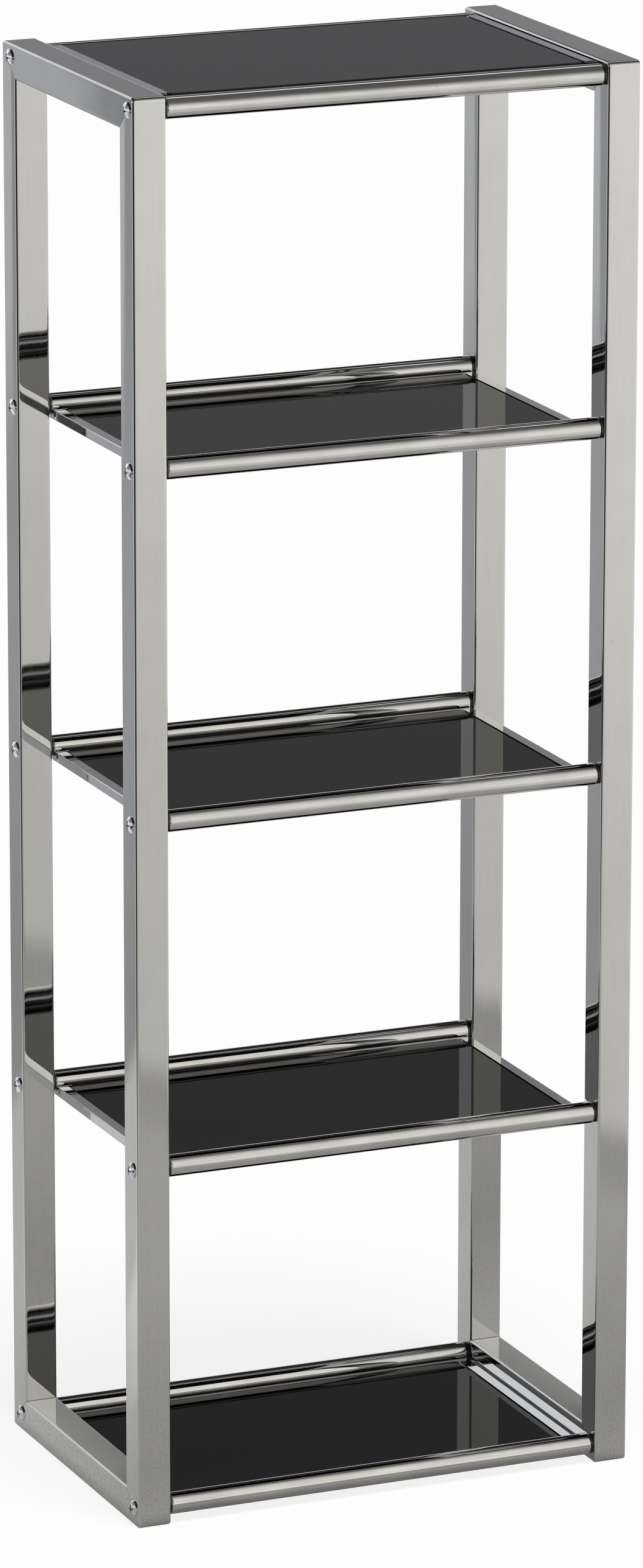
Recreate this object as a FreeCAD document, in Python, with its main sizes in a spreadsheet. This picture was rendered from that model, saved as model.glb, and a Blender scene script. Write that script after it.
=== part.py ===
import FreeCAD, Part
import math
import os
import Sketcher

# Free-standing etagere: two closed side frames of mitred square tube, joined by five shelves.
# A shelf is two round cross tubes, two side channels and a glass pane lying on the channels' lower flanges.
# Millimetres, +X to the right, +Y to the back, +Z up, origin on the floor under the middle of the frames.

SIZES = (
    ("overall_width", 387, "over the outer faces of the two side frames"),
    ("overall_depth", 250, "over the front and back posts"),
    ("overall_height", 1046, "floor to the top of the side frames"),
    ("frame_width", 25, "frame tube, across its front face"),
    ("frame_depth", 25, "frame tube, in the plane of the side frame"),
    ("frame_wall", 1.5, "frame tube wall"),
    ("frame_edge", 1.6, "radius along the frame tube's edges"),
    ("frame_corner", 3, "ground radius at the welded mitre corners"),
    ("top_axis_rise", 2.5, "top shelf's tube axis above the top rails' centre lines"),
    ("bottom_axis_rise", 0.5, "bottom shelf's tube axis above the bottom rails' centre lines"),
    ("axis_forward", 3, "tube axes in front of the posts' centre lines"),
    ("tube_diameter", 16, "round cross tube"),
    ("tube_wall", 1.6, "round cross tube wall"),
    ("tube_rim", 1.3, "radius of the cross tube's rim"),
    ("collar_thickness", 1.8, "plug collar between tube end and post"),
    ("collar_diameter", 15, "plug collar"),
    ("stem_length", 18, "plug stem inside the tube"),
    ("stem_clearance", 0.05, "plug stem to tube bore, on the radius"),
    ("screw_diameter", 6, "screw shank"),
    ("screw_grip", 14, "screw shank inside the plug's stem"),
    ("thread_clearance", 0.05, "shank to plug bore, on the radius"),
    ("hole_clearance", 0.4, "shank to frame hole, on the radius"),
    ("head_diameter", 12, "screw head"),
    ("head_height", 2.9, "screw head, apex above the frame"),
    ("head_rim", 0.9, "straight rim of the screw head"),
    ("recess_span", 6.4, "cross recess, tip to tip"),
    ("recess_slot", 1.3, "cross recess, width of a wing"),
    ("recess_depth", 2.2, "cross recess below the head's apex"),
    ("channel_width", 8.2, "channel's upper flange"),
    ("channel_height", 7, "channel web"),
    ("channel_sheet", 1.5, "channel sheet thickness"),
    ("channel_edge", 0.7, "outside bend radius of the channel"),
    ("channel_setback", 3, "flange ends to the cross tubes"),
    ("flange_corner", 2, "radius at the corners of the flange ends"),
    ("ledge_reach", 8, "lower flange past the upper flange"),
    ("strip_drop", 2.2, "upper flange below the tube axis, four lower shelves"),
    ("strip_rise", 8.3, "upper flange above the tube axis, top shelf"),
    ("weld_gap", 0.1, "coped web end to the cross tube"),
    ("glass_thickness", 4, "pane"),
    ("glass_side_gap", 1, "pane to the upper flange"),
    ("glass_end_gap", 2, "pane to the cross tubes"),
    ("glass_corner", 2.5, "radius of the pane's corners"),
    ("glass_arris", 0.4, "ground edge of the pane"),
    ("pad_thickness", 1, "pad under the pane"),
    ("pad_diameter", 5, "pad under the pane"),
    ("pad_inset", 20, "pad centre to the pane's front or back edge"),
    ("cut_margin", 2, "how far a cutting outline runs past the metal"),
)

SHELVES = ("top", "upper", "middle", "lower", "bottom")
SIDES = {"left": -1, "right": 1}
ENDS = {"front": -1, "back": 1}
SAME = 1e-6  # lengths closer than this count as equal

doc = FreeCAD.newDocument("etagere")
sheet = doc.addObject("Spreadsheet::Sheet", "Sizes")
for row, (alias, size, note) in enumerate(SIZES, start=1):
    sheet.set("A%d" % row, alias)
    sheet.set("B%d" % row, str(size))
    sheet.set("C%d" % row, note)
    sheet.setAlias("B%d" % row, alias)
doc.recompute()

nodes = []

# Places that several pieces share, as expressions on the sheet
POST_X = "(Sizes.overall_width - Sizes.frame_width) / 2"
POST_Y = "(Sizes.overall_depth - Sizes.frame_depth) / 2"
RAIL_Z = {
    "top": "(Sizes.overall_height - Sizes.frame_depth / 2)",
    "bottom": "(Sizes.frame_depth / 2)",
}
TOP_AXIS = "(%s + Sizes.top_axis_rise)" % RAIL_Z["top"]
BOTTOM_AXIS = "(%s + Sizes.bottom_axis_rise)" % RAIL_Z["bottom"]
TUBE_RADIUS = "Sizes.tube_diameter / 2"
BORE_RADIUS = "(Sizes.tube_diameter / 2 - Sizes.tube_wall)"
HOLE_RADIUS = "(Sizes.screw_diameter / 2 + Sizes.hole_clearance)"
INNER_FACE = "(Sizes.overall_width / 2 - Sizes.frame_width)"
TUBE_END = "(%s - Sizes.collar_thickness)" % INNER_FACE
STRIP_EDGE = "(%s - Sizes.channel_width)" % TUBE_END
LEDGE_WIDTH = "(Sizes.channel_width + Sizes.ledge_reach)"
FLANGE_END = "(%s - %s - Sizes.channel_setback)" % (POST_Y, TUBE_RADIUS)
GLASS_HALF_WIDTH = "(%s - Sizes.glass_side_gap)" % STRIP_EDGE
GLASS_HALF_DEPTH = "(%s - %s - Sizes.glass_end_gap)" % (POST_Y, TUBE_RADIUS)
LEDGE_TOP = "(Sizes.channel_sheet - Sizes.channel_height)"


def axis_height(shelf):
    """Height of a shelf's tube axes: evenly spaced from the bottom shelf to the top one."""
    share = 1 - SHELVES.index(shelf) / (len(SHELVES) - 1)
    return "(%s + (%s - %s) * %g)" % (BOTTOM_AXIS, TOP_AXIS, BOTTOM_AXIS, share)


def strip_level(shelf):
    """Upper face of a shelf's channels, measured from its tube axis."""
    return "Sizes.strip_rise" if shelf == "top" else "(-Sizes.strip_drop)"


def strip_height(shelf):
    return "(%s + %s)" % (axis_height(shelf), strip_level(shelf))


def tube_y(end):
    return "(%d * %s - Sizes.axis_forward)" % (ENDS[end], POST_Y)


def number(expression):
    return float(sheet.evalExpression(expression))


def place(item, x="0", y="0", z="0", turned=False):
    """Bind an object's place to the sheet; a turned one faces the other way along X."""
    if turned:
        item.Placement = FreeCAD.Placement(FreeCAD.Vector(), FreeCAD.Rotation(FreeCAD.Vector(0, 0, 1), 180))
    item.setExpression("Placement.Base.x", x)
    item.setExpression("Placement.Base.y", y)
    item.setExpression("Placement.Base.z", z)


def new_body(label):
    body = doc.addObject("PartDesign::Body", label)
    body.Label = label
    return body


def new_sketch(body, role, name, offset="0"):
    """Sketch on one of the body's own planes, moved along the plane's normal by an offset."""
    sketch = body.newObject("Sketcher::SketchObject", name)
    plane = next(item for item in body.Origin.OriginFeatures if item.Role == role)
    sketch.AttachmentSupport = [(plane, "")]
    sketch.MapMode = "FlatFace"
    sketch.setExpression("AttachmentOffset.Base.z", offset)
    return sketch


def dimension(sketch, kind, geometry, expression):
    """Dimension a circle or an arc by an expression on the sheet."""
    index = sketch.addConstraint(Sketcher.Constraint(kind, geometry, number(expression)))
    sketch.setExpression("Constraints[%d]" % index, expression)


def pin(sketch, geometry, position, x, y):
    """Dimension a point of the sketch from its origin."""
    for kind, expression in (("DistanceX", x), ("DistanceY", y)):
        index = sketch.addConstraint(Sketcher.Constraint(kind, -1, 1, geometry, position, number(expression)))
        sketch.setExpression("Constraints[%d]" % index, expression)


def add_arc(sketch, start, stop, centre):
    """Arc of under a half circle about a centre; returns its start and stop as (geometry, position)."""
    first = start - centre
    last = stop - centre
    anticlockwise = first.cross(last).z > 0
    if not anticlockwise:
        first, last = last, first
    ring = Part.Circle(centre, FreeCAD.Vector(0, 0, 1), first.Length)
    arc = sketch.addGeometry(Part.ArcOfCircle(ring, math.atan2(first.y, first.x), math.atan2(last.y, last.x)))
    return ((arc, 1), (arc, 2)) if anticlockwise else ((arc, 2), (arc, 1))


def outline(sketch, corners, arcs=None):
    """Closed outline through corners given as expressions; arcs maps a corner's index to (radius, x, y):
    the run that starts at that corner is an arc of that radius about that centre."""
    arcs = arcs or {}
    points = [FreeCAD.Vector(number(x), number(y), 0) for x, y in corners]
    runs = []
    for index, start in enumerate(points):
        stop = points[(index + 1) % len(points)]
        if index in arcs:
            centre_x, centre_y = arcs[index][1:]
            runs.append(add_arc(sketch, start, stop, FreeCAD.Vector(number(centre_x), number(centre_y), 0)))
        else:
            line = sketch.addGeometry(Part.LineSegment(start, stop))
            runs.append(((line, 1), (line, 2)))
    for index, (x, y) in enumerate(corners):
        sketch.addConstraint(Sketcher.Constraint("Coincident", *runs[index - 1][1], *runs[index][0]))
        pin(sketch, *runs[index][0], x, y)
    for index, arc in arcs.items():
        dimension(sketch, "Radius", runs[index][0][0], arc[0])


def box_outline(sketch, half_x, half_y):
    outline(sketch, [("-(%s)" % half_x, "-(%s)" % half_y), (half_x, "-(%s)" % half_y),
                     (half_x, half_y), ("-(%s)" % half_x, half_y)])


def circle(sketch, x, y, radius):
    centre = FreeCAD.Vector(number(x), number(y), 0)
    ring = sketch.addGeometry(Part.Circle(centre, FreeCAD.Vector(0, 0, 1), number(radius)))
    pin(sketch, ring, 3, x, y)
    dimension(sketch, "Radius", ring, radius)


def pad(body, sketch, length, both_ways=False):
    feature = body.newObject("PartDesign::Pad", "pad")
    feature.Profile = sketch
    feature.SideType = "Symmetric" if both_ways else "One side"
    feature.setExpression("Length", length)
    doc.recompute()
    return feature


def cut_through(body, sketch):
    """Cut a sketch's outlines right through the body, to both sides of the sketch."""
    before = body.Shape.Volume
    feature = body.newObject("PartDesign::Pocket", "cut")
    feature.Profile = sketch
    feature.SideType = "Symmetric"
    feature.Type = "ThroughAll"
    doc.recompute()
    if not feature.Shape.Volume < before:
        raise RuntimeError("a cut removed nothing from " + body.Label)
    return feature


def revolve(body, sketch):
    feature = body.newObject("PartDesign::Revolution", "turned")
    feature.Profile = sketch
    feature.ReferenceAxis = (sketch, ["H_Axis"])
    feature.Angle = 360
    doc.recompute()


def edges_where(feature, wanted):
    """Names of a feature's straight edges for which wanted(first end, second end) holds."""
    names = []
    for index, edge in enumerate(feature.Shape.Edges, start=1):
        if len(edge.Vertexes) == 2 and wanted(edge.Vertexes[0].Point, edge.Vertexes[1].Point):
            names.append("Edge%d" % index)
    return names


def round_edges(body, feature, names, radius):
    fillet = body.newObject("PartDesign::Fillet", "round")
    fillet.Base = (feature, names)
    fillet.setExpression("Radius", radius)
    doc.recompute()
    return fillet


def near(first, second):
    return abs(first - second) < SAME


def make_outline(side):
    """Solid slab as large as a side frame, with ground corners and rounded edges: the frame's outer form."""
    body = new_body("%s_outline" % side)
    plan = new_sketch(body, "XY_Plane", "plan")
    box_outline(plan, "Sizes.frame_width / 2", "Sizes.overall_depth / 2")
    slab = pad(body, plan, "Sizes.overall_height")
    corners = edges_where(slab, lambda first, second: near(first.y, second.y) and near(first.z, second.z))
    ground = round_edges(body, slab, corners, "Sizes.frame_corner")
    half_width = number("Sizes.frame_width / 2")
    sides = []
    for index, face in enumerate(ground.Shape.Faces, start=1):
        if near(abs(face.CenterOfMass.x), half_width):
            sides.append("Face%d" % index)
    round_edges(body, ground, sides, "Sizes.frame_edge")
    place(body, signed(SIDES[side], POST_X))
    return body


def frame_tube(label, section_plane, length, centred, inner_edge):
    """Hollow square tube along the normal of its section's plane, rounded where it faces into the frame."""
    body = new_body(label)
    section = new_sketch(body, section_plane, "section")
    box_outline(section, "Sizes.frame_width / 2", "Sizes.frame_depth / 2")
    box_outline(section, "Sizes.frame_width / 2 - Sizes.frame_wall", "Sizes.frame_depth / 2 - Sizes.frame_wall")
    tube = pad(body, section, length, centred)
    half_width = number("Sizes.frame_width / 2")
    full_length = number(length)

    def long_edge(first, second):
        outside = near(abs(first.x), half_width) and near(abs(second.x), half_width)
        return outside and inner_edge(first) and near(first.distanceToPoint(second), full_length)

    round_edges(body, tube, edges_where(tube, long_edge), "Sizes.frame_edge")
    return body


def trim(label, body, outline_body):
    """The node of a frame tube: what lies inside its side frame's outer form."""
    common = doc.addObject("Part::Common", label)
    common.Label = label
    common.Base = body
    common.Tool = outline_body
    nodes.append(common)


def signed(sign, expression):
    return expression if sign > 0 else "-(%s)" % expression


def make_post(side, end, outline_body):
    """Upright of a side frame: mitred to both rails, drilled for one screw per shelf."""
    label = "%s_%s_post" % (side, end)
    inward = -ENDS[end]
    body = frame_tube(label + "_tube", "XY_Plane", "Sizes.overall_height", False,
                      lambda point: point.y * inward > 0)
    reach = "(Sizes.frame_depth / 2 + Sizes.cut_margin)"
    low = "-Sizes.cut_margin"
    high = "Sizes.overall_height + Sizes.cut_margin"
    past_corner = "Sizes.frame_depth + Sizes.cut_margin"

    mitres = new_sketch(body, "YZ_Plane", "mitres")
    inner = signed(inward, reach)
    outer = signed(-inward, reach)
    outline(mitres, [(outer, low), (inner, low), (inner, past_corner)])
    outline(mitres, [(outer, high), (inner, high), (inner, "Sizes.overall_height - (%s)" % past_corner)])
    cut_through(body, mitres)

    holes = new_sketch(body, "YZ_Plane", "holes")
    for shelf in SHELVES:
        circle(holes, "-Sizes.axis_forward", axis_height(shelf), HOLE_RADIUS)
    cut_through(body, holes)

    place(body, signed(SIDES[side], POST_X), signed(ENDS[end], POST_Y))
    trim(label, body, outline_body)


def make_rail(side, level, outline_body):
    """Top or bottom member of a side frame, mitred to the posts and drilled with them at the corners."""
    label = "%s_%s_rail" % (side, level)
    outward = 1 if level == "top" else -1
    body = frame_tube(label + "_tube", "XZ_Plane", "Sizes.overall_depth", True,
                      lambda point: point.z * outward < 0)
    reach = "(Sizes.frame_depth / 2 + Sizes.cut_margin)"
    tip = "Sizes.overall_depth / 2 + Sizes.cut_margin"
    past_corner = "(Sizes.overall_depth / 2 - Sizes.frame_depth - Sizes.cut_margin)"

    mitres = new_sketch(body, "YZ_Plane", "mitres")
    holes = new_sketch(body, "YZ_Plane", "holes")
    for end, toward in ENDS.items():
        outline(mitres, [(signed(toward, tip), signed(outward, reach)),
                         (signed(toward, tip), signed(-outward, reach)),
                         (signed(toward, past_corner), signed(-outward, reach))])
        circle(holes, tube_y(end), "%s - %s" % (axis_height(level), RAIL_Z[level]), HOLE_RADIUS)
    cut_through(body, mitres)
    cut_through(body, holes)

    place(body, signed(SIDES[side], POST_X), "0", RAIL_Z[level])
    trim(label, body, outline_body)


def make_tube(shelf, end):
    """Round cross tube with rolled rims, between the collars of its two plugs."""
    body = new_body("%s_%s_tube" % (shelf, end))
    rim = "(%s - Sizes.tube_rim)" % TUBE_RADIUS
    shoulder = "(%s - Sizes.tube_rim)" % TUBE_END
    section = new_sketch(body, "XZ_Plane", "section")
    outline(section, [
        ("-" + TUBE_END, BORE_RADIUS),
        (TUBE_END, BORE_RADIUS),
        (TUBE_END, rim),
        (shoulder, TUBE_RADIUS),
        ("-" + shoulder, TUBE_RADIUS),
        ("-" + TUBE_END, rim),
    ], {2: ("Sizes.tube_rim", shoulder, rim), 4: ("Sizes.tube_rim", "-" + shoulder, rim)})
    revolve(body, section)
    place(body, "0", tube_y(end), axis_height(shelf))
    nodes.append(body)


def make_channel(shelf, side):
    """Side channel: narrow flange on top, wide one below for the glass, web coped to the cross tubes."""
    body = new_body("%s_%s_channel" % (shelf, side))
    sheet_line = "-Sizes.channel_sheet"
    floor_line = "-Sizes.channel_height"
    section = new_sketch(body, "XZ_Plane", "section")
    outline(section, [
        ("0", "0"),
        ("Sizes.channel_width", "0"),
        ("Sizes.channel_width", sheet_line),
        ("Sizes.channel_sheet", sheet_line),
        ("Sizes.channel_sheet", LEDGE_TOP),
        (LEDGE_WIDTH, LEDGE_TOP),
        (LEDGE_WIDTH, floor_line),
        ("0", floor_line),
    ])
    length = "2 * (%s - %s / 2)" % (POST_Y, TUBE_RADIUS)
    bar = pad(body, section, length, True)

    def bend(first, second):
        return near(first.x, 0) and near(second.x, 0) and near(first.distanceToPoint(second), number(length))

    round_edges(body, bar, edges_where(bar, bend), "Sizes.channel_edge")

    ends = new_sketch(body, "XY_Plane", "flange_ends")
    past_tip = "(%s + Sizes.cut_margin)" % LEDGE_WIDTH
    past_end = "(%s + Sizes.cut_margin)" % POST_Y
    for toward in ENDS.values():
        outline(ends, [("Sizes.channel_sheet", signed(toward, FLANGE_END)),
                       (past_tip, signed(toward, FLANGE_END)),
                       (past_tip, signed(toward, past_end)),
                       ("Sizes.channel_sheet", signed(toward, past_end))])
    trimmed = cut_through(body, ends)

    def flange_tip(first, second):
        upright = near(first.x, second.x) and near(first.y, second.y)
        at_tip = near(first.x, number("Sizes.channel_width")) or near(first.x, number(LEDGE_WIDTH))
        return upright and at_tip and near(abs(first.y), number(FLANGE_END))

    round_edges(body, trimmed, edges_where(trimmed, flange_tip), "Sizes.flange_corner")

    copes = new_sketch(body, "YZ_Plane", "copes")
    for toward in ENDS.values():
        circle(copes, signed(toward, POST_Y), "-" + strip_level(shelf), TUBE_RADIUS + " + Sizes.weld_gap")
    cut_through(body, copes)

    web_face = signed(SIDES[side], TUBE_END)
    place(body, web_face, "-Sizes.axis_forward", strip_height(shelf), turned=side == "right")
    nodes.append(body)


def make_glass(shelf):
    """Pane with rounded corners and ground edges, lying on the pads."""
    body = new_body("%s_glass" % shelf)
    plan = new_sketch(body, "XY_Plane", "plan")
    box_outline(plan, GLASS_HALF_WIDTH, GLASS_HALF_DEPTH)
    pane = pad(body, plan, "Sizes.glass_thickness")
    upright = edges_where(pane, lambda first, second: near(first.x, second.x) and near(first.y, second.y))
    rounded = round_edges(body, pane, upright, "Sizes.glass_corner")
    faces = []
    for index, face in enumerate(rounded.Shape.Faces, start=1):
        if near(abs(face.normalAt(0, 0).z), 1):
            faces.append("Face%d" % index)
    arris = body.newObject("PartDesign::Chamfer", "arris")
    arris.Base = (rounded, faces)
    arris.setExpression("Size", "Sizes.glass_arris")
    doc.recompute()
    place(body, "0", "-Sizes.axis_forward", "%s + %s + Sizes.pad_thickness" % (strip_height(shelf), LEDGE_TOP))
    nodes.append(body)


def gather(label, pieces):
    """One node that holds several like solids."""
    group = doc.addObject("Part::Compound", label)
    group.Label = label
    group.Links = pieces
    nodes.append(group)


def make_plug(shelf, side, end):
    """Threaded plug in a tube's end, with a collar that stands against the post."""
    body = new_body("%s_%s_%s_plug" % (shelf, side, end))
    bore = "(Sizes.screw_diameter / 2 + Sizes.thread_clearance)"
    stem = "(%s - Sizes.stem_clearance)" % BORE_RADIUS
    tip = "(Sizes.collar_thickness + Sizes.stem_length)"
    section = new_sketch(body, "XZ_Plane", "section")
    outline(section, [
        ("0", bore),
        (tip, bore),
        (tip, stem),
        ("Sizes.collar_thickness", stem),
        ("Sizes.collar_thickness", "Sizes.collar_diameter / 2"),
        ("0", "Sizes.collar_diameter / 2"),
    ])
    revolve(body, section)
    place(body, signed(SIDES[side], INNER_FACE), tube_y(end), axis_height(shelf), turned=side == "right")
    return body


def make_screw(shelf, side, end):
    """Domed cross-recess screw, from the frame's outer face into the plug."""
    body = new_body("%s_%s_%s_screw" % (shelf, side, end))
    shank = "Sizes.screw_diameter / 2"
    head = "Sizes.head_diameter / 2"
    rise = "(Sizes.head_height - Sizes.head_rim)"
    length = "(Sizes.frame_width + Sizes.collar_thickness + Sizes.screw_grip)"
    dome = "((%s)^2 + %s^2) / (2 * %s)" % (head, rise, rise)
    section = new_sketch(body, "XZ_Plane", "section")
    outline(section, [
        ("-Sizes.head_height", "0"),
        (length, "0"),
        (length, shank),
        ("0", shank),
        ("0", head),
        ("-Sizes.head_rim", head),
    ], {5: (dome, "%s - Sizes.head_height" % dome, "0")})
    revolve(body, section)

    recess = new_sketch(body, "YZ_Plane", "recess", "-Sizes.head_height")
    wing = "Sizes.recess_span / 2"
    slot = "Sizes.recess_slot / 2"
    quarter = [(wing, "-(%s)" % slot), (wing, slot), (slot, slot)]
    cross = []
    for turn in range(4):
        cross.extend(quarter)
        quarter = [("-(%s)" % y, x) for x, y in quarter]
    outline(recess, cross)
    before = body.Shape.Volume
    pocket = body.newObject("PartDesign::Pocket", "recess_cut")
    pocket.Profile = recess
    pocket.Reversed = True
    pocket.setExpression("Length", "Sizes.recess_depth")
    doc.recompute()
    if not pocket.Shape.Volume < before:
        raise RuntimeError("a recess removed nothing from " + body.Label)
    outer_face = signed(SIDES[side], "Sizes.overall_width / 2")
    place(body, outer_face, tube_y(end), axis_height(shelf), turned=side == "right")
    return body


def make_pad(shelf, side, end):
    """Clear disc on a channel's lower flange, under a corner of the pane."""
    disc = doc.addObject("Part::Cylinder", "%s_%s_%s_pad" % (shelf, side, end))
    disc.setExpression("Radius", "Sizes.pad_diameter / 2")
    disc.setExpression("Height", "Sizes.pad_thickness")
    middle = "(%s + %s - %s) / 2" % (GLASS_HALF_WIDTH, TUBE_END, LEDGE_WIDTH)
    along = "(%s - Sizes.pad_inset)" % GLASS_HALF_DEPTH
    place(disc, signed(SIDES[side], middle), "%s - Sizes.axis_forward" % signed(ENDS[end], along),
          "%s + %s" % (strip_height(shelf), LEDGE_TOP))
    return disc


def make_group(shelf, kind, make_piece):
    gather("%s_%s" % (shelf, kind), [make_piece(shelf, side, end) for side in SIDES for end in ENDS])


for side in SIDES:
    outline_body = make_outline(side)
    for end in ENDS:
        make_post(side, end, outline_body)
    for level in RAIL_Z:
        make_rail(side, level, outline_body)
for shelf in SHELVES:
    for end in ENDS:
        make_tube(shelf, end)
    for side in SIDES:
        make_channel(shelf, side)
    make_glass(shelf)
    make_group(shelf, "plugs", make_plug)
    make_group(shelf, "screws", make_screw)
    make_group(shelf, "pads", make_pad)
doc.recompute()

for item in doc.Objects:
    if "Invalid" in item.State or "Error" in item.State:
        raise RuntimeError("failed: " + item.Label)
for node in nodes:
    if node.Shape.isNull() or not node.Shape.isValid():
        raise RuntimeError("bad shape: " + node.Label)

os.makedirs("parts", exist_ok=True)
for node in nodes:
    node.Shape.exportStep("parts/%s.step" % node.Label)
print("%d nodes, %d solids" % (len(nodes), sum(len(node.Shape.Solids) for node in nodes)))
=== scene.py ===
import math

import bpy
from mathutils import Matrix, Vector

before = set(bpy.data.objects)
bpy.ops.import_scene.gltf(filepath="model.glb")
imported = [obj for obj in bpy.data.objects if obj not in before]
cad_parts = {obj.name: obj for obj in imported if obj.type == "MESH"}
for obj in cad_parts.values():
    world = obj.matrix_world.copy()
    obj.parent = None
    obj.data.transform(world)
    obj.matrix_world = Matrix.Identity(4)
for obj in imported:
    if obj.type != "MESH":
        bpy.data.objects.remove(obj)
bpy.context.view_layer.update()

MM = 0.001
IMAGE_LONG_SIDE = 2576
SENSOR = 36.0

SHELVES = ("top", "upper", "middle", "lower", "bottom")
SIDES = ("left", "right")
ENDS = ("front", "back")

# Sizes of the object that its finishes follow
TALL = 1046 * MM
DEEP = 250 * MM
TUBE = 25 * MM
POST_X = 181 * MM
POST_Y = 112.5 * MM
GLASS_WIDE = 315 * MM
GLASS_DEEP = 205 * MM
AXIS_FORWARD = 3 * MM

# How far the faces of a square tube are from flat
EDGE_DROP = 0.085 * MM
EDGE_POWER = 10
SIDE_BULGE = 0.15 * MM
SIDE_POWER = 2

# The ground seam of a mitre, from its middle: where it starts to fade and where it is gone
SEAM_FULL = 0.2 * MM
SEAM_GONE = 0.6 * MM

# Marks in the chrome: their widths, or how far apart they are
DRAG_LINE_MM = 1.4
DRAG_STRETCH = 0.03
HAZE_MM = 38
PIT_APART_MM = 34
SCUFF_APART_MM = 120
GRIT_MM = 2.4
WAVE_DEPTH = 0.05 * MM

# Marks in the glass and the plastics
WIPE_MM = 14
WIPE_STRETCH = 0.25
GROUND_START = 0.6 * MM
GROUND_FULL = 0.3 * MM
BLOOM_MM = 1.5
CLOUD_MM = 2

# Tones of the chrome plate, from its dullest to its brightest
BRIGHT = ("#d6d6d4", "#dfdfdd")
# Painted shade: a darker copy of the plate's tones for the back posts, so that what they mirror reads dimmer
BACK_POST_SHADE_TONES = ("#d0d0ce", "#d8d8d6")
# Painted shade: a darker copy of the plate's tones for the top rails, so that what they mirror reads dimmer
TOP_RAIL_SHADE_TONES = ("#c6c6c4", "#cececc")
# Painted light: a lighter, bluish copy of the plate's tones for the channels and screws, so that what they
# mirror reads brighter
LIT_COOL_TONES = ("#e4e5e8", "#eeeff2")
DRAGGED = ("#cbcac8", "#e8e7e5")
LOW_RAIL_DUST = 0.42

# The studio, in metres
FLOOR_WIDE = 60
PAPER_LIT_SHARE = 0.85
FLECK_MM = 1.7
LAMP_ENERGY = 2.5
LAMP_TILT = math.radians(12)
LAMP_SPREAD = math.radians(20)


def linear(code, alpha=1.0):
    """An sRGB hex colour as the linear colour that the shader sockets take."""
    colour = []
    for start in (1, 3, 5):
        share = int(code[start:start + 2], 16) / 255
        colour.append(share / 12.92 if share <= 0.04045 else ((share + 0.055) / 1.055) ** 2.4)
    return colour + [alpha]


def add(tree, kind, inputs=None, **settings):
    """Add a node with its settings; an input takes a value or another node's output."""
    node = tree.nodes.new(kind)
    for name, value in settings.items():
        setattr(node, name, value)
    for socket, value in (inputs or {}).items():
        if isinstance(value, bpy.types.NodeSocket):
            tree.links.new(value, node.inputs[socket])
        else:
            node.inputs[socket].default_value = value
    return node


def new_material(name):
    """An empty material with its output node; returns the material, its tree and the output."""
    material = bpy.data.materials.new(name)
    material.use_nodes = True
    material.node_tree.nodes.clear()
    output = add(material.node_tree, "ShaderNodeOutputMaterial")
    return material, material.node_tree, output


def per_metre(size_mm):
    """Scale of a texture whose features are about size_mm across."""
    return 1 / (size_mm * MM)


# Camera

def photo_camera():
    """The photograph's viewing angle, from about 6 m off and a little above a standing person's eyes."""
    place = Vector((-2337.3, -5476.9, 2111.3)) * MM
    heading, pitch, roll = 0.4037, -0.2634, 0.0012
    focal_pixels = 13928.6
    level = math.cos(pitch)
    ahead = Vector((math.sin(heading) * level, math.cos(heading) * level, math.sin(pitch)))
    right = Vector((math.cos(heading), -math.sin(heading), 0))
    up = right.cross(ahead)
    rolled_right = math.cos(roll) * right + math.sin(roll) * up
    rolled_up = math.cos(roll) * up - math.sin(roll) * right
    bpy.ops.object.camera_add()
    camera = bpy.context.object
    camera.name = "photo_camera"
    turn = Matrix((rolled_right, rolled_up, -ahead)).transposed()
    camera.matrix_world = Matrix.Translation(place) @ turn.to_4x4()
    camera.data.sensor_width = SENSOR
    camera.data.lens = focal_pixels * SENSOR / IMAGE_LONG_SIDE
    camera.data.clip_end = 100
    bpy.context.scene.camera = camera


# Finishes

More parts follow.
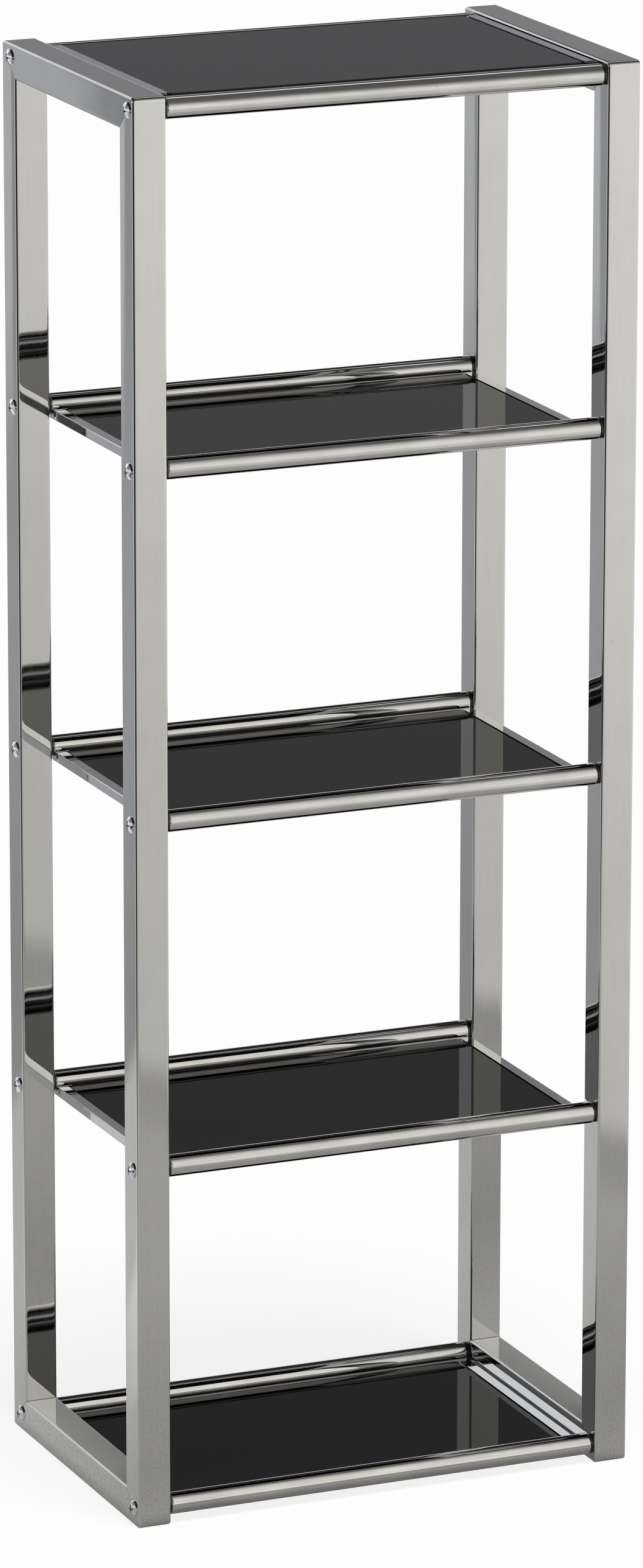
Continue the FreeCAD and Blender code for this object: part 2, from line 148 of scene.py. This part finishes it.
def polished_chrome(name, lengthwise, tones, gloss, wave_mm, tube_faces=None, dust=0.0):
    """Chrome plate over polished steel: a mirror with faint drag lines along its length from the wheel,
    slow waves in the wall that bend what it mirrors, a light haze of handling, a few pits and scuffs.
    tube_faces adds the height of a square tube's faces, which fall off to their edges, and its seams.
    dust is how much of the mirror a film of floor dust hides on faces that look up, which turns them a
    dull grey."""
    material, tree, output = new_material(name)
    place = add(tree, "ShaderNodeTexCoord")
    stretch = [1.0, 1.0, 1.0]
    stretch["XYZ".index(lengthwise)] = DRAG_STRETCH
    along = add(tree, "ShaderNodeMapping", {"Vector": place.outputs["Object"], "Scale": stretch})
    # The wheel's lines are some hundredths of a millimetre; they are drawn coarser so that they show.
    lines = add(tree, "ShaderNodeTexNoise", {"Vector": along.outputs["Vector"],
                                             "Scale": per_metre(DRAG_LINE_MM), "Detail": 3.0,
                                             "Roughness": 0.6})
    haze = add(tree, "ShaderNodeTexNoise", {"Vector": place.outputs["Object"], "Scale": per_metre(HAZE_MM),
                                            "Detail": 4.0, "Roughness": 0.62})
    wear = add(tree, "ShaderNodeMix", {"Factor": 0.45, "A": haze.outputs["Fac"], "B": lines.outputs["Fac"]},
               data_type="FLOAT")
    tone = add(tree, "ShaderNodeMapRange", {"Value": wear.outputs["Result"], "From Min": 0.3,
                                            "From Max": 0.7})
    plate = add(tree, "ShaderNodeMix", {"Factor": tone.outputs["Result"], "A": linear(tones[0]),
                                        "B": linear(tones[1])}, data_type="RGBA")
    pit_cells = add(tree, "ShaderNodeTexVoronoi", {"Vector": place.outputs["Object"],
                                                   "Scale": per_metre(PIT_APART_MM)})
    pits = add(tree, "ShaderNodeMapRange", {"Value": pit_cells.outputs["Distance"], "From Min": 0.012,
                                            "From Max": 0.024, "To Min": 0.6, "To Max": 0.0})
    scuff_cells = add(tree, "ShaderNodeTexVoronoi", {"Vector": place.outputs["Object"],
                                                     "Scale": per_metre(SCUFF_APART_MM)})
    scuff_spots = add(tree, "ShaderNodeMapRange", {"Value": scuff_cells.outputs["Distance"], "From Min": 0.03,
                                                   "From Max": 0.09, "To Min": 1.0, "To Max": 0.0})
    grit = add(tree, "ShaderNodeTexNoise", {"Vector": place.outputs["Object"], "Scale": per_metre(GRIT_MM),
                                            "Detail": 3.0, "Roughness": 0.7})
    grit_share = add(tree, "ShaderNodeMapRange", {"Value": grit.outputs["Fac"], "From Min": 0.5,
                                                  "From Max": 0.68, "To Max": 0.4})
    scuffs = add(tree, "ShaderNodeMath", {0: scuff_spots.outputs["Result"], 1: grit_share.outputs["Result"]},
                 operation="MULTIPLY")
    marks = add(tree, "ShaderNodeMath", {0: pits.outputs["Result"], 1: scuffs.outputs[0]},
                operation="MAXIMUM")
    colour = add(tree, "ShaderNodeMix", {"Factor": marks.outputs[0], "A": plate.outputs["Result"],
                                         "B": linear("#85827b")}, data_type="RGBA")
    rough = add(tree, "ShaderNodeMapRange", {"Value": wear.outputs["Result"], "From Min": 0.3,
                                             "From Max": 0.75, "To Min": gloss[0], "To Max": gloss[1]})
    wave = add(tree, "ShaderNodeTexNoise", {"Vector": place.outputs["Object"], "Scale": per_metre(wave_mm),
                                            "Detail": 1.0, "Roughness": 0.4})
    relief = add(tree, "ShaderNodeBump", {"Height": wave.outputs["Fac"], "Strength": 1.0,
                                          "Distance": WAVE_DEPTH})
    shader = add(tree, "ShaderNodeBsdfPrincipled", {"Base Color": colour.outputs["Result"], "Metallic": 1.0,
                                                    "Roughness": rough.outputs["Result"],
                                                    "Normal": relief.outputs["Normal"]})
    if tube_faces:
        height, seam = tube_faces(tree, place)
        crown = add(tree, "ShaderNodeBump", {"Height": height, "Strength": 1.0, "Distance": 1.0,
                                             "Normal": relief.outputs["Normal"]})
        tree.links.new(crown.outputs["Normal"], shader.inputs["Normal"])
        joint = add(tree, "ShaderNodeMix", {"Factor": seam, "A": colour.outputs["Result"],
                                            "B": linear("#6d6c6a")}, data_type="RGBA")
        tree.links.new(joint.outputs["Result"], shader.inputs["Base Color"])
    if dust:
        shape = add(tree, "ShaderNodeNewGeometry")
        facing = add(tree, "ShaderNodeSeparateXYZ", {"Vector": shape.outputs["Normal"]})
        settled = add(tree, "ShaderNodeMapRange", {"Value": facing.outputs["Z"], "From Min": 0.6,
                                                   "From Max": 0.95, "To Min": 1.0, "To Max": 1.0 - dust})
        tree.links.new(settled.outputs["Result"], shader.inputs["Metallic"])
    tree.links.new(shader.outputs["BSDF"], output.inputs["Surface"])
    return material


def square_tube(across, along):
    """How a square tube's faces fall off to their edges, and the ground seam where two tubes are mitred.
    across and along name the two axes that its faces are measured on, from the tube's middle line. The
    posts' side faces, measured on y, are slightly rounded as well."""
    def faces(tree, place):
        spot = add(tree, "ShaderNodeSeparateXYZ", {"Vector": place.outputs["Object"]})
        wide = add(tree, "ShaderNodeMath", {0: spot.outputs["X"]}, operation="ABSOLUTE")
        deep = add(tree, "ShaderNodeMath", {0: spot.outputs["Y"]}, operation="ABSOLUTE")
        down = add(tree, "ShaderNodeMath", {0: TALL, 1: spot.outputs["Z"]}, operation="SUBTRACT")
        end = add(tree, "ShaderNodeMath", {0: spot.outputs["Z"], 1: down.outputs[0]}, operation="MINIMUM")
        inset = add(tree, "ShaderNodeMath", {0: DEEP / 2, 1: deep.outputs[0]}, operation="SUBTRACT")
        distances = {"x": (wide.outputs[0], POST_X),
                     "y": (deep.outputs[0], POST_Y),
                     "z": (end.outputs[0], TUBE / 2)}
        falls = []
        for axis in (across, along):
            distance, middle = distances[axis]
            off = add(tree, "ShaderNodeMath", {0: distance, 1: middle}, operation="SUBTRACT")
            share = add(tree, "ShaderNodeMath", {0: off.outputs[0], 1: TUBE / 2}, operation="DIVIDE")
            size = add(tree, "ShaderNodeMath", {0: share.outputs[0]}, operation="ABSOLUTE")
            edge = add(tree, "ShaderNodeMath", {0: size.outputs[0], 1: EDGE_POWER}, operation="POWER")
            fall = add(tree, "ShaderNodeMath", {0: edge.outputs[0], 1: EDGE_DROP}, operation="MULTIPLY")
            if axis == "y":
                bulge = add(tree, "ShaderNodeMath", {0: size.outputs[0], 1: SIDE_POWER}, operation="POWER")
                fall = add(tree, "ShaderNodeMath", {0: bulge.outputs[0], 1: SIDE_BULGE, 2: fall.outputs[0]},
                           operation="MULTIPLY_ADD")
            falls.append(fall.outputs[0])
        both = add(tree, "ShaderNodeMath", {0: falls[0], 1: falls[1]}, operation="ADD")
        height = add(tree, "ShaderNodeMath", {0: 0.0, 1: both.outputs[0]}, operation="SUBTRACT")
        gap = add(tree, "ShaderNodeMath", {0: inset.outputs[0], 1: end.outputs[0]}, operation="SUBTRACT")
        miss = add(tree, "ShaderNodeMath", {0: gap.outputs[0]}, operation="ABSOLUTE")
        seam = add(tree, "ShaderNodeMapRange", {"Value": miss.outputs[0], "From Min": SEAM_FULL,
                                                "From Max": SEAM_GONE, "To Min": 0.8, "To Max": 0.0})
        return height.outputs[0], seam.outputs["Result"]
    return faces


def black_glass():
    """Float glass tinted black: a dark mirror whose reflection grows at a low angle, faint wiping marks
    along it, and ground edges that catch a grey line."""
    material, tree, output = new_material("black_float_glass")
    half_wide = GLASS_WIDE / 2
    half_deep = GLASS_DEEP / 2
    place = add(tree, "ShaderNodeTexCoord")
    wiped = add(tree, "ShaderNodeMapping", {"Vector": place.outputs["Object"],
                                            "Scale": (1.0, WIPE_STRETCH, 1.0)})
    film = add(tree, "ShaderNodeTexNoise", {"Vector": wiped.outputs["Vector"], "Scale": per_metre(WIPE_MM),
                                            "Detail": 4.0, "Roughness": 0.65})
    gloss = add(tree, "ShaderNodeMapRange", {"Value": film.outputs["Fac"], "From Min": 0.35, "From Max": 0.75,
                                             "To Min": 0.01, "To Max": 0.07})
    spot = add(tree, "ShaderNodeSeparateXYZ", {"Vector": place.outputs["Object"]})
    wide = add(tree, "ShaderNodeMath", {0: spot.outputs["X"]}, operation="ABSOLUTE")
    centred = add(tree, "ShaderNodeMath", {0: spot.outputs["Y"], 1: AXIS_FORWARD}, operation="ADD")
    deep = add(tree, "ShaderNodeMath", {0: centred.outputs[0]}, operation="ABSOLUTE")
    side = add(tree, "ShaderNodeMapRange", {"Value": wide.outputs[0], "From Min": half_wide - GROUND_START,
                                            "From Max": half_wide - GROUND_FULL})
    end = add(tree, "ShaderNodeMapRange", {"Value": deep.outputs[0], "From Min": half_deep - GROUND_START,
                                           "From Max": half_deep - GROUND_FULL})
    edge = add(tree, "ShaderNodeMath", {0: side.outputs["Result"], 1: end.outputs["Result"]},
               operation="MAXIMUM")
    colour = add(tree, "ShaderNodeMix", {"Factor": edge.outputs[0], "A": linear("#060607"),
                                         "B": linear("#2b2d2d")}, data_type="RGBA")
    rough = add(tree, "ShaderNodeMix", {"Factor": edge.outputs[0], "A": gloss.outputs["Result"], "B": 0.35},
                data_type="FLOAT")
    # The photographed glass mirrors about two thirds of what clear glass does, so its mirror is weakened.
    shader = add(tree, "ShaderNodeBsdfPrincipled", {"Base Color": colour.outputs["Result"], "IOR": 1.52,
                                                    "Specular IOR Level": 0.1,
                                                    "Roughness": rough.outputs["Result"]})
    tree.links.new(shader.outputs["BSDF"], output.inputs["Surface"])
    return material


def moulded_black():
    """Black moulded plastic of the plugs' collars: a soft gloss with the mould's fine bloom."""
    material, tree, output = new_material("moulded_black_plastic")
    place = add(tree, "ShaderNodeTexCoord")
    bloom = add(tree, "ShaderNodeTexNoise", {"Vector": place.outputs["Object"], "Scale": per_metre(BLOOM_MM),
                                             "Detail": 3.0})
    colour = add(tree, "ShaderNodeMix", {"Factor": bloom.outputs["Fac"], "A": linear("#0f0f10"),
                                         "B": linear("#1d1d1d")}, data_type="RGBA")
    rough = add(tree, "ShaderNodeMapRange", {"Value": bloom.outputs["Fac"], "To Min": 0.25, "To Max": 0.45})
    shader = add(tree, "ShaderNodeBsdfPrincipled", {"Base Color": colour.outputs["Result"], "IOR": 1.5,
                                                    "Roughness": rough.outputs["Result"]})
    tree.links.new(shader.outputs["BSDF"], output.inputs["Surface"])
    return material


def clear_vinyl():
    """Clear soft vinyl of the pads under the panes: pale, slightly cloudy and see-through."""
    material, tree, output = new_material("clear_vinyl")
    place = add(tree, "ShaderNodeTexCoord")
    cloud = add(tree, "ShaderNodeTexNoise", {"Vector": place.outputs["Object"], "Scale": per_metre(CLOUD_MM),
                                             "Detail": 3.0})
    rough = add(tree, "ShaderNodeMapRange", {"Value": cloud.outputs["Fac"], "To Min": 0.15, "To Max": 0.35})
    shader = add(tree, "ShaderNodeBsdfPrincipled", {"Base Color": linear("#dfe2e0"), "IOR": 1.53,
                                                    "Roughness": rough.outputs["Result"],
                                                    "Transmission Weight": 0.8})
    tree.links.new(shader.outputs["BSDF"], output.inputs["Surface"])
    return material


def dress(node, material):
    """Put a finish on all of a node."""
    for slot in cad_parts[node].material_slots:
        slot.material = material


post_chrome = polished_chrome("polished_chrome_post", "Z", BRIGHT, (0.015, 0.05), 60, square_tube("x", "y"))
# The back posts get the darker copy of the plate's tones, which paints shade on them
back_post_chrome = polished_chrome("polished_chrome_back_post", "Z", BACK_POST_SHADE_TONES, (0.015, 0.05), 60,
                                   square_tube("x", "y"))
# The top rails get the darker copy of the plate's tones, which paints shade on them
rail_chrome = polished_chrome("polished_chrome_rail", "Y", TOP_RAIL_SHADE_TONES, (0.015, 0.05), 60, square_tube("x", "z"))
low_rail_chrome = polished_chrome("polished_chrome_low_rail", "Y", BRIGHT, (0.02, 0.06), 60,
                                  square_tube("x", "z"), dust=LOW_RAIL_DUST)
tube_chrome = polished_chrome("polished_chrome_tube", "X", DRAGGED, (0.02, 0.06), 70)
# The channels and screws get the lighter, bluish copy of the plate's tones, which paints light on them
channel_chrome = polished_chrome("polished_chrome_channel", "Y", LIT_COOL_TONES, (0.03, 0.08), 80)
screw_chrome = polished_chrome("polished_chrome_screw", "X", LIT_COOL_TONES, (0.03, 0.09), 20)
glass = black_glass()
collar = moulded_black()
vinyl = clear_vinyl()

for side in SIDES:
    dress(side + "_front_post", post_chrome)
    dress(side + "_back_post", back_post_chrome)
    dress(side + "_top_rail", rail_chrome)
    dress(side + "_bottom_rail", low_rail_chrome)
for shelf in SHELVES:
    for end in ENDS:
        dress("%s_%s_tube" % (shelf, end), tube_chrome)
    for side in SIDES:
        dress("%s_%s_channel" % (shelf, side), channel_chrome)
    dress(shelf + "_glass", glass)
    dress(shelf + "_screws", screw_chrome)
    dress(shelf + "_plugs", collar)
    dress(shelf + "_pads", vinyl)


# Studio

def card(name, material, width, height, place, turn=(0, 0, 0)):
    """A flat studio card, with its pattern in metres from the card's own centre."""
    bpy.ops.object.select_all(action="DESELECT")
    bpy.ops.mesh.primitive_plane_add(size=1)
    sheet = bpy.context.object
    sheet.name = name
    sheet.scale = (width, height, 1)
    bpy.ops.object.transform_apply(scale=True)
    sheet.location = place
    sheet.rotation_euler = turn
    sheet.data.materials.append(material)
    return sheet


def only_mirrored(sheet):
    """Leave a card out of everything but the reflections."""
    sheet.visible_camera = False
    sheet.visible_diffuse = False
    sheet.visible_shadow = False
    sheet.visible_transmission = False
    sheet.visible_volume_scatter = False


def set_stops(ramp, stops):
    """Give a colour ramp its stops: a position and a colour each."""
    while len(ramp.elements) < len(stops):
        ramp.elements.new(1.0)
    for element, (position, code) in zip(ramp.elements, stops):
        element.position = position
        element.color = linear(code)


def paper_floor():
    """White studio paper under the object, lit evenly enough that only a faint shadow is left."""
    material, tree, output = new_material("white_studio_paper")
    paper = add(tree, "ShaderNodeBsdfDiffuse", {"Color": linear("#f6f6f5")})
    white = add(tree, "ShaderNodeEmission", {"Color": linear("#ffffff"), "Strength": 1.0})
    path = add(tree, "ShaderNodeLightPath")
    seen = add(tree, "ShaderNodeMath", {0: path.outputs["Is Camera Ray"], 1: path.outputs["Is Glossy Ray"]},
               operation="MAXIMUM")
    shown = add(tree, "ShaderNodeMath", {0: seen.outputs[0], 1: path.outputs["Is Transmission Ray"]},
                operation="MAXIMUM")
    share = add(tree, "ShaderNodeMath", {0: shown.outputs[0], 1: PAPER_LIT_SHARE}, operation="MULTIPLY")
    mixed = add(tree, "ShaderNodeMixShader", {0: share.outputs[0], 1: paper.outputs["BSDF"],
                                              2: white.outputs["Emission"]})
    tree.links.new(mixed.outputs["Shader"], output.inputs["Surface"])
    card("floor", material, FLOOR_WIDE, FLOOR_WIDE, (0, 0, 0))


def mirrored_floor():
    """The room's floor as the polished faces show it: pale and warm before the object; a grey flecked patch
    round its feet, with the object's own shadow and a darker rim at its front edge; cooler and darker behind
    it; and dark on the left, with one pale strip that draws the thin bright line along the posts' edges."""
    # The patches' edges slant: each slope says how far an edge moves for a metre on the other axis.
    bright_slope = 0.42
    fleck_slope = 0.39
    front_slope = -0.92
    back_slope = 0.29
    # The floor is seen at a low angle, so its flecks are drawn three times as long in that direction.
    fleck_squeeze = 0.33
    card_height = 0.2 * MM

    material, tree, output = new_material("mirrored_room_floor")
    material.cycles.emission_sampling = "NONE"
    place = add(tree, "ShaderNodeTexCoord")
    spot = add(tree, "ShaderNodeSeparateXYZ", {"Vector": place.outputs["Object"]})
    across, deep = spot.outputs["X"], spot.outputs["Y"]

    # Before the object
    before_share = add(tree, "ShaderNodeMapRange", {"Value": across, "From Min": 0.0, "From Max": 3.0})
    before = add(tree, "ShaderNodeValToRGB", {"Fac": before_share.outputs["Result"]})
    set_stops(before.color_ramp, ((0.10, "#cac9c7"), (0.30, "#d8d6d4"), (0.43, "#e4e2df"), (0.52, "#e8e6e3"),
                                  (0.67, "#ebe9e6"), (0.83, "#f1efec"), (0.97, "#f3f1ee")))

    # Behind the object, with a brighter part further off on the right
    behind_share = add(tree, "ShaderNodeMapRange", {"Value": deep, "From Min": 0.5, "From Max": 4.5})
    behind = add(tree, "ShaderNodeValToRGB", {"Fac": behind_share.outputs["Result"]})
    set_stops(behind.color_ramp, ((0.20, "#9c9d9e"), (0.33, "#a4a5a7"), (0.50, "#a9aaad"), (0.68, "#a3a4a7"),
                                  (0.90, "#9c9da0")))
    bright_line = add(tree, "ShaderNodeMath", {0: deep, 1: bright_slope, 2: across}, operation="MULTIPLY_ADD")
    bright = add(tree, "ShaderNodeMapRange", {"Value": bright_line.outputs[0], "From Min": -0.13,
                                              "From Max": -0.04, "To Max": 0.82},
                 interpolation_type="SMOOTHSTEP")
    far_enough = add(tree, "ShaderNodeMapRange", {"Value": deep, "From Min": 3.0, "From Max": 3.9})
    bright_start = add(tree, "ShaderNodeMath", {0: bright.outputs["Result"], 1: far_enough.outputs["Result"]},
                       operation="MULTIPLY")
    not_too_far = add(tree, "ShaderNodeMapRange", {"Value": deep, "From Min": 6.3, "From Max": 6.9,
                                                   "To Min": 1.0, "To Max": 0.3})
    bright_share = add(tree, "ShaderNodeMath", {0: bright_start.outputs[0], 1: not_too_far.outputs["Result"]},
                       operation="MULTIPLY")
    behind_bright = add(tree, "ShaderNodeMix", {"Factor": bright_share.outputs[0],
                                                "A": behind.outputs["Color"],
                                                "B": linear("#c9cace")}, data_type="RGBA")

    # Round the feet: flecks, the rim at the front edge and the object's shadow
    near_share = add(tree, "ShaderNodeMapRange", {"Value": deep, "From Min": -1.3, "From Max": 0.9})
    near = add(tree, "ShaderNodeValToRGB", {"Fac": near_share.outputs["Result"]})
    set_stops(near.color_ramp, ((0.05, "#b5b4b2"), (0.18, "#b6b5b3"), (0.30, "#b3b2b0"), (0.41, "#a8a7a5"),
                                (0.48, "#a1a09e"), (0.59, "#b3b2b0"), (0.66, "#c0bfbe"), (0.77, "#c8c8c8"),
                                (1.0, "#c6c6c6")))
    fleck_across = add(tree, "ShaderNodeMath", {0: deep, 1: fleck_slope, 2: across}, operation="MULTIPLY_ADD")
    fleck_along = add(tree, "ShaderNodeMath", {0: across, 1: -fleck_slope, 2: deep}, operation="MULTIPLY_ADD")
    fleck_short = add(tree, "ShaderNodeMath", {0: fleck_along.outputs[0], 1: fleck_squeeze},
                      operation="MULTIPLY")
    fleck_place = add(tree, "ShaderNodeCombineXYZ", {"X": fleck_across.outputs[0],
                                                     "Y": fleck_short.outputs[0]})
    flecks = add(tree, "ShaderNodeTexNoise", {"Vector": fleck_place.outputs["Vector"],
                                              "Scale": per_metre(FLECK_MM), "Detail": 3.0, "Roughness": 0.7})
    fleck_level = add(tree, "ShaderNodeMapRange", {"Value": flecks.outputs["Fac"], "From Min": 0.3,
                                                   "From Max": 0.7, "To Min": 0.83, "To Max": 1.17})
    under = add(tree, "ShaderNodeMapRange", {"Value": across, "From Min": -0.42, "From Max": -0.18,
                                             "To Min": 1.0, "To Max": 0.97}, interpolation_type="SMOOTHSTEP")
    off_middle = add(tree, "ShaderNodeMath", {0: deep}, operation="ABSOLUTE")
    below = add(tree, "ShaderNodeMapRange", {"Value": off_middle.outputs[0], "From Min": 0.155,
                                             "From Max": 0.11}, interpolation_type="SMOOTHSTEP")
    off_side = add(tree, "ShaderNodeMath", {0: across}, operation="ABSOLUTE")
    within = add(tree, "ShaderNodeMapRange", {"Value": off_side.outputs[0], "From Min": 0.205,
                                              "From Max": 0.185})
    shade = add(tree, "ShaderNodeMath", {0: below.outputs["Result"], 1: within.outputs["Result"]},
                operation="MULTIPLY")
    contact = add(tree, "ShaderNodeMapRange", {"Value": shade.outputs[0], "To Min": 1.0, "To Max": 0.42})
    front_edge = add(tree, "ShaderNodeMath", {0: deep, 1: front_slope, 2: across}, operation="MULTIPLY_ADD")
    rim = add(tree, "ShaderNodeMapRange", {"Value": front_edge.outputs[0], "From Min": 1.04, "From Max": 1.20,
                                           "To Min": 1.0, "To Max": 0.85}, interpolation_type="SMOOTHSTEP")
    rimmed = add(tree, "ShaderNodeMath", {0: fleck_level.outputs["Result"], 1: rim.outputs["Result"]},
                 operation="MULTIPLY")
    level = add(tree, "ShaderNodeMath", {0: rimmed.outputs[0], 1: under.outputs["Result"]},
                operation="MULTIPLY")
    shaded_level = add(tree, "ShaderNodeMath", {0: level.outputs[0], 1: contact.outputs["Result"]},
                       operation="MULTIPLY")
    near_flecked = add(tree, "ShaderNodeVectorMath", {0: near.outputs["Color"],
                                                      "Scale": shaded_level.outputs[0]}, operation="SCALE")

    # The three patches joined along their edges
    back_edge = add(tree, "ShaderNodeMath", {0: across, 1: back_slope, 2: deep}, operation="MULTIPLY_ADD")
    past_back = add(tree, "ShaderNodeMapRange", {"Value": back_edge.outputs[0], "From Min": 0.70,
                                                 "From Max": 0.82}, interpolation_type="SMOOTHSTEP")
    near_and_back = add(tree, "ShaderNodeMix", {"Factor": past_back.outputs["Result"],
                                                "A": near_flecked.outputs["Vector"],
                                                "B": behind_bright.outputs["Result"]}, data_type="RGBA")
    past_front = add(tree, "ShaderNodeMapRange", {"Value": front_edge.outputs[0], "From Min": 1.25,
                                                  "From Max": 1.39}, interpolation_type="SMOOTHSTEP")
    with_front = add(tree, "ShaderNodeMix", {"Factor": past_front.outputs["Result"],
                                             "A": near_and_back.outputs["Result"],
                                             "B": before.outputs["Color"]}, data_type="RGBA")

    # The dark left side and its pale strip
    left_across = add(tree, "ShaderNodeMapRange", {"Value": across, "From Min": -0.7, "From Max": -1.6},
                      interpolation_type="SMOOTHSTEP")
    left_deep = add(tree, "ShaderNodeMapRange", {"Value": deep, "From Min": 0.6, "From Max": 0.2},
                    interpolation_type="SMOOTHSTEP")
    left = add(tree, "ShaderNodeMath", {0: left_across.outputs["Result"], 1: left_deep.outputs["Result"]},
               operation="MULTIPLY")
    whole = add(tree, "ShaderNodeMix", {"Factor": left.outputs[0], "A": with_front.outputs["Result"],
                                        "B": linear("#2a2a2b")}, data_type="RGBA")
    leftward = add(tree, "ShaderNodeMath", {0: across, 1: -1.0}, operation="MULTIPLY")
    slant = add(tree, "ShaderNodeMath", {0: deep, 1: leftward.outputs[0]}, operation="DIVIDE")
    strip_start = add(tree, "ShaderNodeMapRange", {"Value": slant.outputs[0], "From Min": 0.40,
                                                   "From Max": 0.50})
    strip_stop = add(tree, "ShaderNodeMapRange", {"Value": slant.outputs[0], "From Min": 1.05,
                                                  "From Max": 0.90})
    strip_far = add(tree, "ShaderNodeMapRange", {"Value": leftward.outputs[0], "From Min": 0.25,
                                                 "From Max": 0.5})
    strip = add(tree, "ShaderNodeMath", {0: strip_start.outputs["Result"], 1: strip_stop.outputs["Result"]},
                operation="MULTIPLY")
    strip_share = add(tree, "ShaderNodeMath", {0: strip.outputs[0], 1: strip_far.outputs["Result"]},
                      operation="MULTIPLY")
    with_strip = add(tree, "ShaderNodeMix", {"Factor": strip_share.outputs[0], "A": whole.outputs["Result"],
                                             "B": linear("#eeeff1")}, data_type="RGBA")

    light = add(tree, "ShaderNodeEmission", {"Color": with_strip.outputs["Result"], "Strength": 1.0})
    tree.links.new(light.outputs["Emission"], output.inputs["Surface"])
    only_mirrored(card("mirrored_floor", material, FLOOR_WIDE, FLOOR_WIDE, (0, 0, card_height)))


def mirrored_canopy():
    """A black flag over the object, lit at its front on the right, that the round tubes mirror as a dark
    band. Two light strips in it draw the thin white lines along the tubes."""
    flag_wide, flag_deep, flag_height = 3.0, 8.55, 1.37
    middle_x, middle_y = 0.5, -3.725
    lit_edge, dark_edge = -1.8, 1.2
    left_dark, left_lit = -0.25, -0.02
    material, tree, output = new_material("mirrored_black_flag")
    material.cycles.emission_sampling = "NONE"
    place = add(tree, "ShaderNodeTexCoord")
    spot = add(tree, "ShaderNodeSeparateXYZ", {"Vector": place.outputs["Object"]})
    share = add(tree, "ShaderNodeMapRange", {"Value": spot.outputs["Y"], "From Min": lit_edge - middle_y,
                                             "From Max": dark_edge - middle_y})
    cloth = add(tree, "ShaderNodeValToRGB", {"Fac": share.outputs["Result"]})
    set_stops(cloth.color_ramp, ((0.07, "#f2f0ea"), (0.23, "#e6e4df"), (0.33, "#cfcdc9"), (0.40, "#adacaa"),
                                 (0.45, "#898887"), (0.48, "#656565"), (0.597, "#595959"), (0.605, "#ffffff"),
                                 (0.630, "#ffffff"), (0.638, "#4a4a4a"), (0.67, "#3f3f3f"), (0.71, "#262626"),
                                 (0.72, "#c8c8c8"), (0.75, "#c8c8c8"), (0.76, "#1d1d1d"), (0.98, "#1d1d1d")))
    lit = add(tree, "ShaderNodeMapRange", {"Value": spot.outputs["X"], "From Min": left_dark - middle_x,
                                           "From Max": left_lit - middle_x}, interpolation_type="SMOOTHSTEP")
    sided = add(tree, "ShaderNodeMix", {"Factor": lit.outputs["Result"], "A": linear("#2a2a2a"),
                                        "B": cloth.outputs["Color"]}, data_type="RGBA")
    light = add(tree, "ShaderNodeEmission", {"Color": sided.outputs["Result"], "Strength": 1.0})
    tree.links.new(light.outputs["Emission"], output.inputs["Surface"])
    only_mirrored(card("mirrored_canopy", material, flag_wide, flag_deep, (middle_x, middle_y, flag_height)))


def mirrored_softbox():
    """A softbox behind on the left, that the strips and rail faces on the right catch, and that draws the
    light line along the rails' outer top edges."""
    box_wide, box_tall = 3.6, 2.0
    place = Vector((-1.05, 3.4, 1.75))
    aimed_at = Vector((0.1, 0, 0.2))
    material, tree, output = new_material("mirrored_softbox")
    material.cycles.emission_sampling = "NONE"
    light = add(tree, "ShaderNodeEmission", {"Color": linear("#f6f8fb"), "Strength": 1.0})
    tree.links.new(light.outputs["Emission"], output.inputs["Surface"])
    turn = (aimed_at - place).to_track_quat("Z", "Y").to_euler()
    only_mirrored(card("mirrored_softbox", material, box_wide, box_tall, place, turn))


def studio_world():
    """A bright wall before the object on the right, a dim ceiling, and a dim room with a pale low strip."""
    world = bpy.data.worlds.new("studio")
    bpy.context.scene.world = world
    world.use_nodes = True
    tree = world.node_tree
    tree.nodes.clear()
    output = add(tree, "ShaderNodeOutputWorld")
    place = add(tree, "ShaderNodeTexCoord")
    way = add(tree, "ShaderNodeSeparateXYZ", {"Vector": place.outputs["Generated"]})
    room = add(tree, "ShaderNodeValToRGB", {"Fac": way.outputs["Z"]})
    set_stops(room.color_ramp, ((0.05, "#f4f4f4"), (0.13, "#8f9093"), (0.21, "#8b8b8d"), (0.26, "#808081"),
                                (0.375, "#6f6f6f"), (0.50, "#1c1c1c"), (0.80, "#303030"), (0.95, "#5a5a59")))
    before = add(tree, "ShaderNodeMapRange", {"Value": way.outputs["Y"], "From Min": -0.32,
                                              "From Max": -0.60}, interpolation_type="SMOOTHSTEP")
    rightward = add(tree, "ShaderNodeMapRange", {"Value": way.outputs["X"], "From Min": -0.25,
                                                 "From Max": 0.0}, interpolation_type="SMOOTHSTEP")
    lit = add(tree, "ShaderNodeMath", {0: before.outputs["Result"], 1: rightward.outputs["Result"]},
              operation="MULTIPLY")
    wall = add(tree, "ShaderNodeMix", {"Factor": lit.outputs[0], "A": room.outputs["Color"],
                                       "B": linear("#f8f5f0")}, data_type="RGBA")
    light = add(tree, "ShaderNodeBackground", {"Color": wall.outputs["Result"], "Strength": 1.0})
    tree.links.new(light.outputs["Background"], output.inputs["Surface"])


def studio_lamp():
    """A large soft overhead lamp, out of the reflections."""
    bpy.ops.object.light_add(type="SUN", rotation=(LAMP_TILT, 0, 0))
    lamp = bpy.context.object
    lamp.name = "overhead_softbox"
    lamp.data.energy = LAMP_ENERGY
    lamp.data.angle = LAMP_SPREAD
    lamp.visible_glossy = False


photo_camera()
paper_floor()
mirrored_floor()
mirrored_canopy()
mirrored_softbox()
studio_world()
studio_lamp()
bpy.context.scene.view_settings.view_transform = "Standard"
